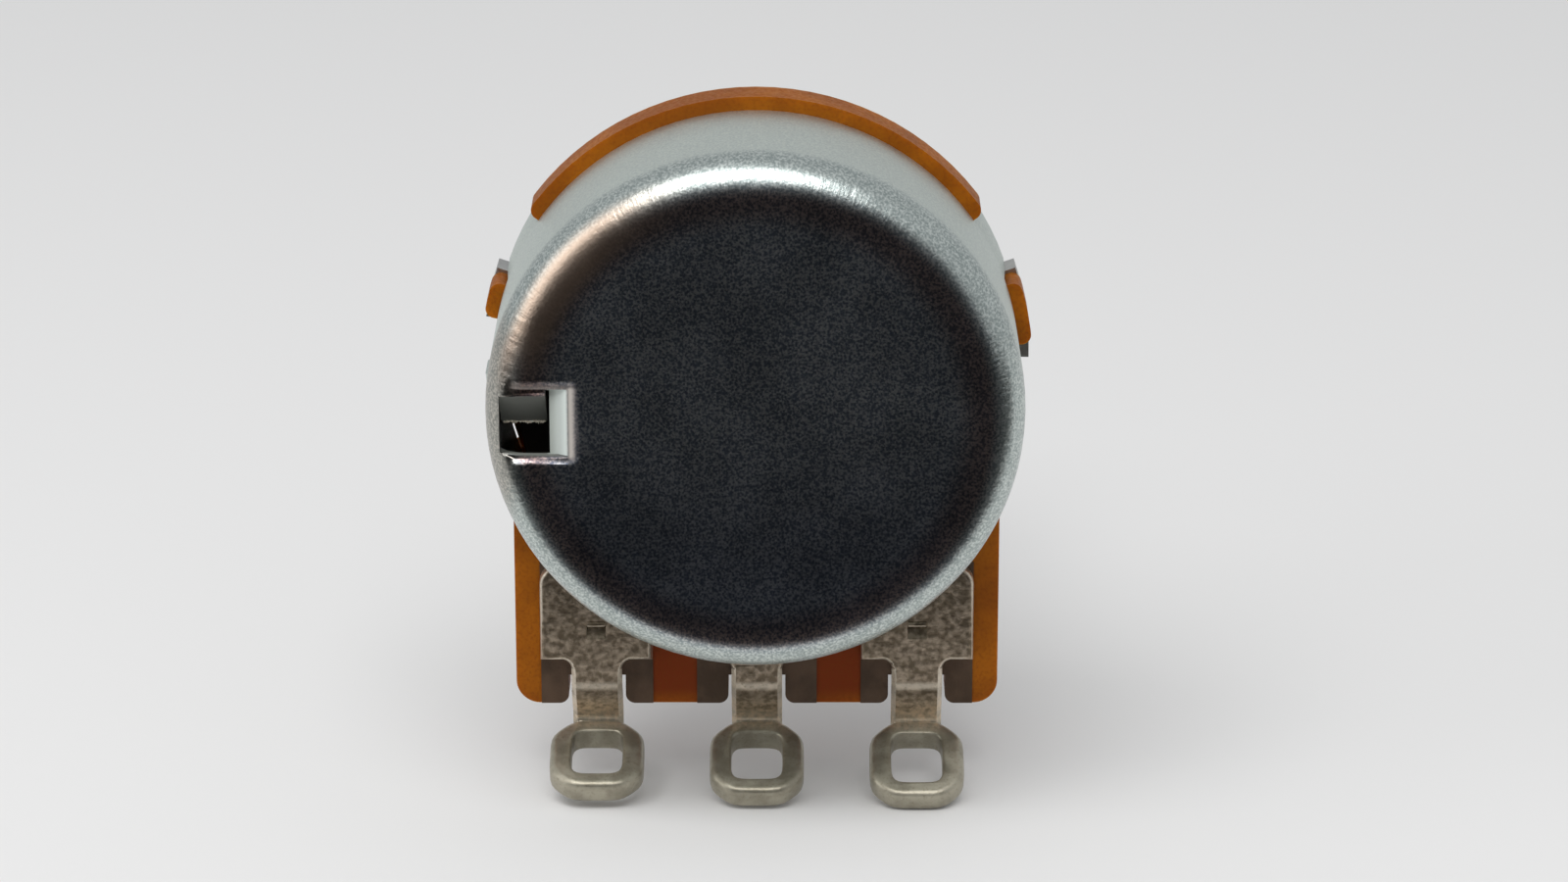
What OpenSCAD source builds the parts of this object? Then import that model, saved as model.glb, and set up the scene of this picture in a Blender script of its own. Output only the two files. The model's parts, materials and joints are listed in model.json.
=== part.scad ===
// Panel potentiometer, 16 mm class, single gang, with solder lugs.
// Origin on the panel seating face at the shaft axis; the shaft runs along +Y,
// the solder lugs hang towards -Z and +Z is up.  Millimetres and degrees.

/* [Cover] */
// Outer diameter of the drawn steel cover
cover_d = 16.1; // [15.6:0.1:17]
// Height of the cover above the element board
cover_h = 5.65; // [5.5:0.05:7]
// Thickness of the steel sheet
sheet_t = 0.3; // [0.25:0.01:0.35]
// Outer radius of the drawn edge
cover_edge_r = 1.2; // [1:0.05:1.35]
// Height of the rim relief over the terminals, above their plates
rim_relief = 0.45; // [0.3:0.05:0.8]

/* [Rotation stop] */
// Height of the lanced window in the cover
window_h = 2.06; // [1.8:0.02:2.3]
// Width of the lanced window, along the radius
window_w = 1.5; // [1.3:0.05:1.7]
// Metal left between the window and the side of the cover
window_edge = 0.45; // [0.4:0.05:0.6]
// Angle by which the stop flap is bent into the cover
flap_bend = 45; // [35:1:50]
// Width of the lip that is pressed in on the inner side of the window
window_lip = 0.55; // [0.3:0.05:0.7]
// Angle by which that lip is pressed in
lip_bend = 30; // [15:1:35]

/* [Crimp tabs] */
// Width of a crimp tab
tab_w = 2.1; // [1.6:0.1:2.4]
// Direction of the upper pair, above the horizontal
tab_upper = 27; // [25:1:30]
// Direction of the lower pair, above the horizontal
tab_lower = -9; // [-12:1:-7]
// How far a tab reaches inwards over the flange
tab_reach = 1.4; // [1:0.1:1.8]

/* [Element board] */
// Thickness of the phenolic board
board_t = 1.2; // [1:0.1:1.6]
// How far the board stands out around the cover
board_lip = 0.42; // [0.3:0.02:0.6]
// Width of the lower part that carries the terminals
board_w = 15.06; // [14.6:0.02:15.6]
// From the shaft axis to the lower edge of the board
board_foot = 11.15; // [10.9:0.05:12]
// Radius of the lower corners
board_corner = 0.75; // [0.4:0.05:1.2]
// Radius of the hole round the shaft
board_hole_r = 3.5; // [3.4:0.05:3.6]

/* [Printed conductors] */
// Thickness of the print
print_t = 0.05; // [0.03:0.01:0.08]
// From the outer edge of the resistive track to the cover's wall
track_margin = 0.65; // [0.55:0.05:0.75]
// Width of the resistive track
track_w = 1.4; // [1.2:0.1:1.5]
// Half of the gap between the ends of the resistive track
track_gap = 28; // [24:1:29]
// Gap between the collector ring and the resistive track
collector_gap = 0.75; // [0.65:0.05:0.85]
// Width of the collector ring
collector_w = 0.9; // [0.7:0.05:1]
// Width of the lead from the collector ring to its pad
lead_w = 1.8; // [1.2:0.1:2.4]
// Width of the pad under the centre terminal
centre_pad_w = 3.75; // [3.5:0.05:4]

/* [Terminals] */
// Spacing of the terminals
lug_pitch = 5; // [4.8:0.05:5.2]
// Thickness of the terminal strip
lug_t = 0.5; // [0.4:0.02:0.6]
// Width of a terminal plate
plate_w = 3.5; // [3.2:0.05:3.8]
// Length of a terminal plate
plate_l = 3.1; // [2.8:0.05:3.3]
// From the lower edge of the plates to the lower edge of the board
plate_rise = 1.6; // [1.3:0.05:2]
// Width of the neck
neck_w = 1.58; // [1.3:0.02:1.7]
// Straight length of neck below the plate
neck_flat = 0.75; // [0.6:0.05:0.9]
// Length of the neck that runs forward through the board
neck_slope_l = 1.15; // [1:0.05:1.6]
// Angle of that forward run on the left terminal
neck_slope_left = 38; // [25:1:40]
// Angle of that forward run on the centre terminal
neck_slope_centre = 33; // [25:1:40]
// Angle of that forward run on the right terminal
neck_slope_right = 28; // [25:1:40]
// Inner radius of the bends
bend_r = 0.25; // [0.2:0.05:0.35]
// Width of the soldering ring
ring_w = 2.95; // [2.8:0.05:3.2]
// Length of the soldering ring
ring_l = 3.1; // [2.8:0.05:3.4]
// Thickness of the coined soldering ring
ring_t = 0.8; // [0.6:0.05:0.85]
// Width of the hole in the ring
ring_hole_w = 1.6; // [1.4:0.05:1.8]
// Length of the hole in the ring
ring_hole_l = 1.92; // [1.7:0.02:2.1]
// Angle of the left ring, away from the board plane
ring_bend_left = 70; // [55:1:75]
// Angle of the centre ring, away from the board plane
ring_bend_centre = 65; // [55:1:75]
// Angle of the right ring, away from the board plane
ring_bend_right = 62; // [55:1:75]

/* [Bushing and flange] */
// Thickness of the die-cast flange
flange_t = 1.8; // [1.6:0.1:2.2]
// Outer diameter of the threaded bushing
bushing_d = 7; // [6.8:0.1:7.4]
// Length of the bushing in front of the panel face
bushing_l = 7; // [5:0.5:9]
// From the shaft axis to the outer face of the locating lug
key_r = 7.2; // [6.8:0.1:7.3]
// Thickness of the locating lug
key_t = 1; // [0.8:0.1:1.4]
// Width of the locating lug
key_w = 2.7; // [2:0.1:3]
// Height of the locating lug in front of the panel face
key_h = 1.1; // [0.8:0.1:1.5]

/* [Shaft] */
// Diameter of the shaft in front of the bushing
shaft_d = 6.35; // [6:0.05:6.6]
// Length of the shaft in front of the panel face
shaft_l = 15; // [13:0.5:25]
// Diameter of the journal inside the bushing
journal_d = 4.5; // [4.2:0.1:4.8]
// Radial running clearance of the journal
journal_gap = 0.03; // [0.02:0.01:0.05]
// Chamfer on the front end of the shaft
shaft_chamfer = 0.5; // [0.3:0.1:0.8]

/* [Rotor] */
// Whole angle of travel between the two stops
travel = 300; // [280:1:310]
// Play left at each end of the travel
stop_gap = 0.75; // [0.5:0.05:1.5]
// Gap between the edge of the rotor and the cover
rotor_gap = 0.55; // [0.45:0.05:0.8]
// Thickness of the rotor disc
rotor_t = 1.2; // [1:0.1:1.4]
// Height of the wiper carrier face above the board
carrier_h = 1.6; // [1.5:0.05:1.8]
// Radius of the rotor hub
hub_r = 2.9; // [2.8:0.05:3]
// Running clearance along the axis
end_play = 0.1; // [0.06:0.01:0.15]
// Thickness of the retaining clip
clip_t = 0.4; // [0.3:0.05:0.5]
// Outer radius of the retaining clip
clip_r = 3.05; // [2.95:0.05:3.1]

/* [Wiper] */
// Thickness of the spring sheet
spring_t = 0.16; // [0.12:0.01:0.2]
// Width of one wiper finger
finger_w = 0.34; // [0.28:0.02:0.38]
// Gap between neighbouring fingers
finger_gap = 0.12; // [0.08:0.01:0.15]
// Gap between the contact points and the print
contact_gap = 0.08; // [0.05:0.01:0.1]

/* [Hidden] */
$fn = 96;

// Heights below are measured from the panel face towards the cover.
cover_r = cover_d / 2;
cover_in_r = cover_r - sheet_t;
board_r = cover_r + board_lip;
board_front = flange_t;
board_rear = flange_t + board_t;
print_rear = board_rear + print_t;
plate_rear = print_rear + lug_t;
cover_top = board_rear + cover_h;
cover_ceiling = cover_top - sheet_t;

// Printed conductors, from the cover's wall inwards.
track_r = cover_in_r - track_margin - track_w / 2;
collector_r = track_r - track_w / 2 - collector_gap - collector_w / 2;

// Crimp tabs: they run on from the wall of the cover and fold over recesses in the
// flange.  The lower left one is crushed outwards a little by the crimping.
tab_half = asin(tab_w / 2 / cover_r);
tab_gap = 0.05;
tab_sink = 0.6;
left_tab_drop = 3;
tab_root = 0.02;
TAB_DIRS = [tab_upper, tab_lower, 180 - tab_lower + left_tab_drop, 180 - tab_upper];
TAB_BULGES = [0.05, 0.05, 0.36, 0.05];

// The flange fits inside the tabs; an ear on each side reaches out between them.
flange_r = cover_in_r - tab_gap;
ear_r = board_r - 0.06;
ear_t = 1;
ear_gap = 0.5;
ear_top = tab_upper - tab_half - ear_gap;
right_ear_low = tab_lower + tab_half + ear_gap;
left_ear_low = right_ear_low + 9;

// Between the notches for the tabs the board keeps a bump, shorter than the ear.
notch_r = cover_in_r - tab_gap;
notch_top = tab_upper + tab_half + 0.3;
bump_top = ear_top - 0.7;
right_bump_low = right_ear_low + 5.5;
left_bump_low = right_bump_low + 6;
notch_low = tab_lower - tab_half - 1;
bump_round = 0.3;

// Terminals.
plate_foot = board_foot - plate_rise;
plate_corner = 0.6;
neck_fillet = 0.3;
neck_edge = 0.14;
neck_end = plate_foot + neck_flat;
slot_gap = 0.1;
slot_w = neck_w + 2 * slot_gap;
slot_depth = board_foot - neck_end + slot_gap;
slot_round = 0.3;
stake_y = plate_foot - 0.95;
stake_hole_r = 0.62;
stake_fit = 0.02;
stake_head_r = 0.9;
stake_head_t = 0.35;
pit_w = 0.6;
pit_h = 0.45;
pit_depth = 0.22;
lip_r = 0.1;
ring_edge = ring_t * 0.3;
hole_edge = ring_t * 0.12;
ring_overlap = 0.3;
core_reach = 0.05;
ring_steps = 56;
corner_steps = 4;
NECK_SLOPES = [neck_slope_left, neck_slope_centre, neck_slope_right];
RING_BENDS = [ring_bend_left, ring_bend_centre, ring_bend_right];

// Rim relief: the sector of the cover's rim that clears the terminal plates.
relief_half = acos((plate_foot - plate_l - 0.4) / cover_r) + 6;

// Shaft, seen from the front end to the riveted end.
journal_r = journal_d / 2;
bore_r = journal_r + journal_gap;
shoulder_front = -bushing_l - end_play;
clip_front = flange_t + end_play;
clip_rear = clip_front + clip_t;
groove_r = journal_r - 0.4;
flat_half = journal_r - 0.55;
hub_front = clip_rear + end_play;
key_fit = 0.02;
rivet_t = 0.35;
rivet_r = journal_r - 0.25;

// Rotor.
carrier_z = board_rear + carrier_h;
disc_rear = carrier_z + rotor_t;
rotor_r = cover_in_r - rotor_gap;
hub_rear = disc_rear + 0.5;

// Rotation stop: the window, its flap and the stop block that meets it.
window_out_x = cover_r - window_edge;
window_in_x = window_out_x - window_w;
flap_slit = 0.12;
window_roll = 0.28;
flap_tip_y = window_h / 2 - window_h * cos(flap_bend) - sheet_t * sin(flap_bend);
stop_in_r = window_in_x + 0.15;
stop_out_r = rotor_r - 0.1;
stop_top = cover_ceiling - 0.2;
// Height above the window's middle at which the sloping flap reaches the block's top.
flap_under = cover_top - sheet_t / cos(flap_bend);
flap_meet_y = window_h / 2 - (flap_under - stop_top) / tan(flap_bend);
stop_low_angle = asin(max(0, -flap_tip_y) / stop_in_r);
stop_high_angle = asin(flap_meet_y / stop_in_r);
stop_block_angle = 360 - stop_low_angle - stop_high_angle - travel - 2 * stop_gap;
stop_block_dir = (stop_low_angle - stop_high_angle) / 2;

// Wiper spring: a carrier plate with fingers that curve down to the print.
spring_front = carrier_z - spring_t;
contact_z = print_rear + contact_gap;
finger_pitch = finger_w + finger_gap;
spring_edge = 0.05;
spring_in_r = collector_r - finger_pitch / 2 - finger_w / 2 - spring_edge;
spring_out_r = track_r + finger_pitch + finger_w / 2 + spring_edge;
tip_rise = 0.35;
finger_dir = 90;
finger_span = 26;
plate_dir = finger_dir + finger_span;
plate_span = 30;
post_r = 0.45;
post_fit = 0.02;
post_head = 0.25;

// ---------------------------------------------------------------- helpers

// Turns a piece drawn in the rear view (x right, y up, z to the rear) into the part's frame.
module seen_from_rear() {
  rotate([90, 0, 0]) children();
}

// Flat sector between two angles.
module sector(r_in, r_out, from, to) {
  span = to - from;
  steps = max(1, ceil(span / 30));
  reach = r_out / cos(15) + 1;
  directions = [for (i = [0:steps]) from + span * i / steps];
  intersection() {
    difference() {
      circle(r_out);
      circle(r_in);
    }
    polygon(concat([[0, 0]], [for (a = directions) reach * [cos(a), sin(a)]]));
  }
}

// Half profile of a cup with a rounded edge, for turning about the axis.
module cup_profile(r, h, edge) {
  square([r, h - edge]);
  square([r - edge, h]);
  translate([r - edge, h - edge]) intersection() {
    circle(edge);
    square(edge);
  }
}

// Distance from the centre to a rounded polygon whose faces are [normal angle, distance].
function rounded_reach(a, faces, sharp) =
  let (reaches = [for (f = faces) pow(max(0, cos(a - f[0])) / f[1], sharp)])
  pow(reaches * [for (f = faces) 1], -1 / sharp);

// Closed ring between an inner and an outer outline, with rounded inner and outer edges.
module rounded_ring(inner, outer, t, inner_edge, outer_edge, steps) {
  corners = [
    [0, t - inner_edge, 180], [1, t - outer_edge, 90], [1, outer_edge, 0], [0, inner_edge, -90]
  ];
  section = [for (c = corners, k = [0:corner_steps]) [c[0], c[1], c[2] - 90 * k / corner_steps]];
  m = len(section);
  points = [for (i = [0:steps - 1], s = section)
    let (a = 360 * i / steps,
         edge = s[0] == 1 ? outer_edge : inner_edge,
         edge_middle = s[0] == 1 ? outer[i] - edge : inner[i] + edge,
         r = edge_middle + edge * cos(s[2]))
    [r * cos(a), r * sin(a), s[1] + edge * sin(s[2])]];
  faces = [for (i = [0:steps - 1], k = [0:m - 1])
    let (j = (i + 1) % steps, n = (k + 1) % m)
    [i * m + k, j * m + k, j * m + n, i * m + n]];
  polyhedron(points, faces, convexity = 4);
}

// ------------------------------------------------------------------ cover

// Tab about direction 0: a leg through the board notch and an end that is folded inwards.
module crimp_tab(bulge) {
  out_r = cover_r + bulge;
  in_r = out_r - sheet_t;
  fold_in = flange_r - tab_reach;
  rotate([0, 0, -tab_half]) rotate_extrude(angle = 2 * tab_half) {
    polygon([
      [cover_in_r + tab_root, board_rear + sheet_t],
      [cover_r - tab_root, board_rear + sheet_t],
      [cover_r - tab_root, board_rear],
      [out_r, board_front],
      [in_r, board_front],
      [cover_in_r + tab_root, board_rear]
    ]);
    translate([in_r, tab_sink]) square([sheet_t, board_front - tab_sink]);
    translate([fold_in, tab_sink - sheet_t]) square([in_r - fold_in, sheet_t]);
    translate([in_r, tab_sink]) intersection() {
      circle(sheet_t);
      translate([0, -sheet_t]) square(sheet_t);
    }
  }
}

module stop_flap() {
  w = window_w - flap_slit;
  translate([-window_out_x, window_h / 2, cover_top]) rotate([flap_bend, 0, 0])
    translate([0, -window_h, -sheet_t]) cube([w, window_h, sheet_t]);
  // Rolled bend where the flap leaves the cover.
  translate([-window_out_x, window_h / 2, cover_top - sheet_t]) intersection() {
    rotate([0, 90, 0]) cylinder(r = sheet_t, h = w);
    translate([0, -sheet_t, 0]) cube([w, 2 * sheet_t, sheet_t]);
  }
}

// Strip on the window's inner side, pressed in towards the window.
module window_lip_strip() {
  translate([-window_in_x + window_lip, -window_h / 2, cover_top]) rotate([0, -lip_bend, 0])
    translate([-window_lip / cos(lip_bend), 0, -sheet_t])
      cube([window_lip / cos(lip_bend), window_h, sheet_t]);
}

module rear_cover() {
  color([0.72, 0.74, 0.73]) seen_from_rear() {
    difference() {
      translate([0, 0, board_rear]) rotate_extrude() difference() {
        cup_profile(cover_r, cover_h, cover_edge_r);
        translate([0, -1]) cup_profile(cover_in_r, cover_h - sheet_t + 1, cover_edge_r - sheet_t);
      }
      // Rim relief over the terminals.
      translate([0, 0, board_rear - 1])
        linear_extrude(1 + plate_rear - board_rear + rim_relief)
          sector(cover_in_r - 1, cover_r + 1, -90 - relief_half, -90 + relief_half);
      // Stop window, with the room for its lip.
      translate([-window_out_x, -window_h / 2, cover_top - cover_edge_r])
        cube([window_w + window_lip, window_h, cover_edge_r + 1]);
      // Rolled lower edge of the window and of its lip.
      translate([-window_out_x, -window_h / 2 - window_roll, cover_top - window_roll]) difference() {
        translate([0, 0, 0.01]) cube([window_w + window_lip, 1.5 * window_roll, window_roll + 1]);
        rotate([0, 90, 0]) cylinder(r = window_roll, h = 3 * (window_w + window_lip), center = true);
      }
    }
    window_lip_strip();
    intersection() {
      stop_flap();
      translate([0, 0, board_rear]) rotate_extrude() cup_profile(cover_r, cover_h, cover_edge_r);
    }
    for (i = [0:3]) rotate([0, 0, TAB_DIRS[i]]) crimp_tab(TAB_BULGES[i]);
  }
}

// ------------------------------------------------------------------ board

module board_outline() {
  notch_out_r = board_r + 1;
  difference() {
    offset(r = bump_round) offset(r = -bump_round) difference() {
      union() {
        circle(board_r);
        translate([-board_w / 2, -board_foot + board_corner])
          square([board_w, board_foot - board_corner]);
        translate([-board_w / 2 + board_corner, -board_foot])
          square([board_w - 2 * board_corner, board_foot]);
        for (side = [-1, 1])
          translate([side * (board_w / 2 - board_corner), -board_foot + board_corner])
            circle(board_corner);
      }
      sector(notch_r, notch_out_r, bump_top, notch_top);
      sector(notch_r, notch_out_r, 180 - notch_top, 180 - bump_top);
      sector(notch_r, notch_out_r, notch_low, right_bump_low);
      sector(notch_r, notch_out_r, 180 - left_bump_low, 180 - notch_low + left_tab_drop);
      for (i = [-1:1]) translate([i * lug_pitch, -board_foot])
        square([slot_w, 2 * slot_depth], center = true);
    }
    circle(board_hole_r);
    for (i = [-1:1]) translate([i * lug_pitch, -stake_y]) circle(stake_hole_r + stake_fit);
  }
}

module element_board() {
  color([0.62, 0.36, 0.1]) seen_from_rear()
    translate([0, 0, board_front]) linear_extrude(board_t) board_outline();
}

// ----------------------------------------------------------------- prints

module printed() {
  seen_from_rear() translate([0, 0, board_rear]) linear_extrude(print_t) children();
}

// Pad of width w round the slot for a neck, with the slot's rounded mouth.
module pad_outline(w) {
  mouth_w = slot_w + 2 * slot_round;
  difference() {
    translate([-w / 2, -board_foot]) square([w, plate_rise + plate_l]);
    translate([0, -board_foot]) square([slot_w, 2 * slot_depth], center = true);
    difference() {
      translate([0, -board_foot]) square([mouth_w, 2 * slot_round], center = true);
      for (side = [-1, 1])
        translate([side * mouth_w / 2, -board_foot + slot_round]) circle(slot_round);
    }
    translate([0, -stake_y]) circle(stake_hole_r + stake_fit);
  }
}

module resistive_track() {
  color([0.16, 0.14, 0.13]) printed()
    sector(track_r - track_w / 2, track_r + track_w / 2, -90 + track_gap, 270 - track_gap);
}

// End pad for side -1 (left) or 1 (right): a plate-wide pad that runs up to the track's end.
module end_pad(side) {
  shoulder_y = track_r * sin(74 - track_gap);
  color([0.29, 0.25, 0.21]) printed() mirror([side < 0 ? 1 : 0, 0]) difference() {
    union() {
      translate([lug_pitch, 0]) pad_outline(plate_w);
      difference() {
        translate([lug_pitch - plate_w / 2, -plate_foot])
          square([plate_w / 2, plate_foot - shoulder_y]);
        circle(track_r - track_w / 2);
      }
    }
    translate([lug_pitch, -stake_y]) circle(stake_hole_r + stake_fit);
    sector(track_r - track_w, track_r + track_w / 2, -90 + track_gap, 0);
  }
}

module end_pad_left() {
  end_pad(-1);
}

module end_pad_right() {
  end_pad(1);
}

module collector_ring() {
  color([0.29, 0.25, 0.21]) printed() difference() {
    union() {
      sector(collector_r - collector_w / 2, collector_r + collector_w / 2, 0, 180);
      sector(collector_r - collector_w / 2, collector_r + collector_w / 2, 180, 360);
      translate([-lead_w / 2, -plate_foot]) square([lead_w, plate_foot - collector_r]);
      pad_outline(centre_pad_w);
    }
    translate([0, -stake_y]) circle(stake_hole_r + stake_fit);
  }
}

// -------------------------------------------------------------- terminals

// Cross-section of the strip, with its sheared edges taken off.
module strip_section(w) {
  half = w / 2;
  polygon([
    [0, neck_edge - half],
    [neck_edge, -half],
    [lug_t - neck_edge, -half],
    [lug_t, neck_edge - half],
    [lug_t, half - neck_edge],
    [lug_t - neck_edge, half],
    [neck_edge, half],
    [0, half - neck_edge]
  ]);
}

// Straight run of strip along -y.  Its core reaches into the bends at both ends.
module strip_run(w, l) {
  rotate([90, 0, 0]) linear_extrude(l) rotate([0, 0, 90]) mirror([0, 1]) strip_section(w);
  translate([0, -l / 2, lug_t / 2]) cube([w * 0.6, l + 2 * core_reach, lug_t / 2], center = true);
}

// Bend of the strip: forward (towards -z) for a positive angle, otherwise to the rear.
module strip_bend(w, r, a) {
  if (a > 0)
    translate([0, 0, -r]) rotate([90, 0, 90]) rotate([0, 0, 90])
      rotate_extrude(angle = a) translate([r, 0]) strip_section(w);
  else
    translate([0, 0, lug_t + r]) rotate([90, 0, 90]) rotate([0, 0, -90 + a])
      rotate_extrude(angle = -a) translate([r + lug_t, 0]) mirror([1, 0]) strip_section(w);
}

// Moves what follows to the end of such a bend.
module after_bend(r, a) {
  pivot = a > 0 ? -r : lug_t + r;
  translate([0, 0, pivot]) rotate([a, 0, 0]) translate([0, 0, -pivot]) children();
}

module solder_ring() {
  shoulder = ring_w * 0.56;
  foot = ring_w * 0.57;
  outer_faces = [
    [0, ring_w / 2], [180, ring_w / 2], [90, ring_l / 2], [270, ring_l / 2],
    [45, shoulder], [135, shoulder], [225, foot], [315, foot]
  ];
  hole_faces = [
    [0, ring_hole_w / 2], [180, ring_hole_w / 2], [90, ring_hole_l / 2], [270, ring_hole_l / 2]
  ];
  angles = [for (i = [0:ring_steps - 1]) 360 * i / ring_steps];
  translate([0, -ring_l / 2, 0]) rounded_ring(
    [for (a = angles) rounded_reach(a, hole_faces, 5)],
    [for (a = angles) rounded_reach(a, outer_faces, 16)],
    ring_t, hole_edge, ring_edge, ring_steps);
}

module terminal_plate() {
  difference() {
    union() {
      linear_extrude(lug_t) difference() {
        union() {
          translate([-plate_w / 2, -plate_foot]) square([plate_w, plate_l - plate_corner]);
          translate([-plate_w / 2 + plate_corner, -plate_foot])
            square([plate_w - 2 * plate_corner, plate_l]);
          for (side = [-1, 1])
            translate([side * (plate_w / 2 - plate_corner), -plate_foot + plate_l - plate_corner])
              circle(plate_corner);
          translate([-neck_w / 2 - neck_fillet, -plate_foot - neck_fillet])
            square([neck_w + 2 * neck_fillet, 2 * neck_fillet]);
        }
        for (side = [-1, 1])
          translate([side * (neck_w / 2 + neck_fillet), -plate_foot - neck_fillet])
            circle(neck_fillet);
      }
      // Staked stub through the board, with its upset head on the front.
      translate([0, -stake_y, -board_t - print_t]) cylinder(r = stake_hole_r, h = board_t + print_t);
      translate([0, -stake_y, -board_t - print_t - stake_head_t])
        cylinder(r1 = stake_head_r - 0.2, r2 = stake_head_r, h = stake_head_t);
      // Lip raised by the staking punch.
      translate([0, -stake_y + pit_h / 2 + lip_r / 2, lug_t - lip_r / 4]) rotate([0, 90, 0])
        cylinder(r = lip_r, h = pit_w * 0.9, center = true);
    }
    // Pit left by the staking punch: steep above, sloping out below.
    translate([0, -stake_y, lug_t]) rotate([90, 0, 90])
      linear_extrude(pit_w, center = true)
        polygon([
          [pit_h / 2, 2 * lip_r],
          [pit_h / 2, -pit_depth],
          [pit_h / 3, -pit_depth],
          [-pit_h / 2, 0],
          [-pit_h / 2, 2 * lip_r]
        ]);
  }
}

module terminal(index) {
  slope = NECK_SLOPES[index];
  fold = -(slope + RING_BENDS[index]);
  x = (index - 1) * lug_pitch;
  color([0.55, 0.52, 0.45]) seen_from_rear() translate([x, 0, print_rear]) {
    terminal_plate();
    translate([0, -plate_foot, 0]) {
      translate([0, neck_fillet, 0]) strip_run(neck_w, neck_flat + neck_fillet);
      translate([0, -neck_flat, 0]) {
        strip_bend(neck_w, bend_r, slope);
        after_bend(bend_r, slope) {
          strip_run(neck_w, neck_slope_l);
          translate([0, -neck_slope_l, 0]) {
            strip_bend(neck_w, bend_r, fold);
            after_bend(bend_r, fold) {
              strip_run(neck_w, ring_overlap);
              translate([0, ring_edge, (lug_t - ring_t) / 2]) solder_ring();
            }
          }
        }
      }
    }
  }
}

module terminal_left() {
  terminal(0);
}

module terminal_centre() {
  terminal(1);
}

module terminal_right() {
  terminal(2);
}

// ------------------------------------------------------ bushing and flange

module bushing_flange() {
  flat_y = stake_y - stake_head_r - 0.2;
  chamfer = 0.4;
  recess_r = flange_r - tab_reach - tab_gap;
  recess_half = tab_half + ear_gap;
  color([0.66, 0.66, 0.64]) seen_from_rear() difference() {
    union() {
      difference() {
        union() {
          cylinder(r = flange_r, h = flange_t);
          // Ears between the tabs.
          translate([0, 0, flange_t - ear_t]) linear_extrude(ear_t) {
            sector(flange_r - 1, ear_r, right_ear_low, ear_top);
            sector(flange_r - 1, ear_r, 180 - ear_top, 180 - left_ear_low);
          }
        }
        // Recesses under the folded tabs.
        for (a = TAB_DIRS)
          translate([0, 0, -1]) linear_extrude(1 + tab_sink)
            sector(recess_r, flange_r + 1, a - recess_half, a + recess_half);
        // Flat that clears the staked terminal.
        translate([-flange_r, -flange_r - flat_y, -1]) cube([2 * flange_r, flange_r, flange_t + 2]);
      }
      // Bushing with a chamfered end.
      translate([0, 0, -bushing_l + chamfer]) cylinder(d = bushing_d, h = bushing_l - chamfer);
      translate([0, 0, -bushing_l])
        cylinder(d1 = bushing_d - 2 * chamfer, d2 = bushing_d, h = chamfer);
      // Locating lug, opposite the terminals.
      translate([-key_w / 2, key_r - key_t, -key_h]) cube([key_w, key_t, key_h + flange_t / 2]);
    }
    translate([0, 0, -bushing_l - 1]) cylinder(r = bore_r, h = bushing_l + flange_t + 2);
  }
}

// ------------------------------------------------------------------ shaft

module shaft() {
  r = shaft_d / 2;
  drive_l = hub_rear - clip_rear;
  color([0.78, 0.78, 0.76]) seen_from_rear() {
    translate([0, 0, -shaft_l + shaft_chamfer])
      cylinder(r = r, h = shaft_l + shoulder_front - shaft_chamfer);
    translate([0, 0, -shaft_l]) cylinder(r1 = r - shaft_chamfer, r2 = r, h = shaft_chamfer);
    translate([0, 0, shoulder_front - end_play])
      cylinder(r = journal_r, h = clip_front - shoulder_front + end_play);
    // The bottom of the clip groove runs on inside the steps on both sides.
    translate([0, 0, clip_front - clip_t]) cylinder(r = groove_r, h = 2 * clip_t);
    translate([0, 0, clip_front])
      cylinder(r = flat_half - key_fit, h = hub_rear - clip_front + rivet_t / 2);
    // Two flats drive the rotor.
    intersection() {
      translate([0, 0, clip_rear]) cylinder(r = journal_r, h = drive_l);
      translate([-flat_half, -journal_r, clip_rear]) cube([2 * flat_half, 2 * journal_r, drive_l]);
    }
    translate([0, 0, hub_rear]) cylinder(r1 = rivet_r + 0.2, r2 = rivet_r - 0.3, h = rivet_t);
  }
}

module retaining_clip() {
  color([0.3, 0.3, 0.31]) seen_from_rear() translate([0, 0, clip_front])
    linear_extrude(clip_t) difference() {
      circle(clip_r);
      circle(groove_r + key_fit);
      // Mouth through which the clip is pushed on.
      translate([-groove_r * 0.85, -clip_r - 1]) square([groove_r * 1.7, clip_r + 1]);
    }
}

// ------------------------------------------------------------------ rotor

module rotor() {
  block_from = stop_block_dir - stop_block_angle / 2;
  block_to = stop_block_dir + stop_block_angle / 2;
  color([0.08, 0.08, 0.09]) seen_from_rear() {
    difference() {
      union() {
        translate([0, 0, hub_front]) cylinder(r = hub_r, h = hub_rear - hub_front);
        translate([0, 0, carrier_z]) cylinder(r = rotor_r, h = rotor_t);
        // Stop block.
        translate([0, 0, disc_rear - 0.1]) linear_extrude(stop_top - disc_rear + 0.1)
          sector(stop_in_r, stop_out_r, block_from, block_to);
        // Posts for the spring, with their melted heads.
        spring_posts(post_r, spring_front - post_head, carrier_z + rotor_t / 2);
        spring_posts(post_r + post_head, spring_front - post_head, spring_front);
      }
      // Bore for the two flats of the shaft.
      translate([0, 0, hub_front - 1]) linear_extrude(hub_rear - hub_front + 2) intersection() {
        circle(journal_r + key_fit);
        square([2 * (flat_half + key_fit), 3 * journal_r], center = true);
      }
    }
  }
}

// The two posts that carry the spring, between two heights.
module spring_posts(r, low, high) {
  middle = plate_dir + plate_span / 2;
  for (a = [middle - 8, middle + 8])
    rotate([0, 0, a]) translate([(spring_in_r + spring_out_r) / 2, 0, low])
      cylinder(r = r, h = high - low);
}

// ----------------------------------------------------------------- wiper

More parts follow.
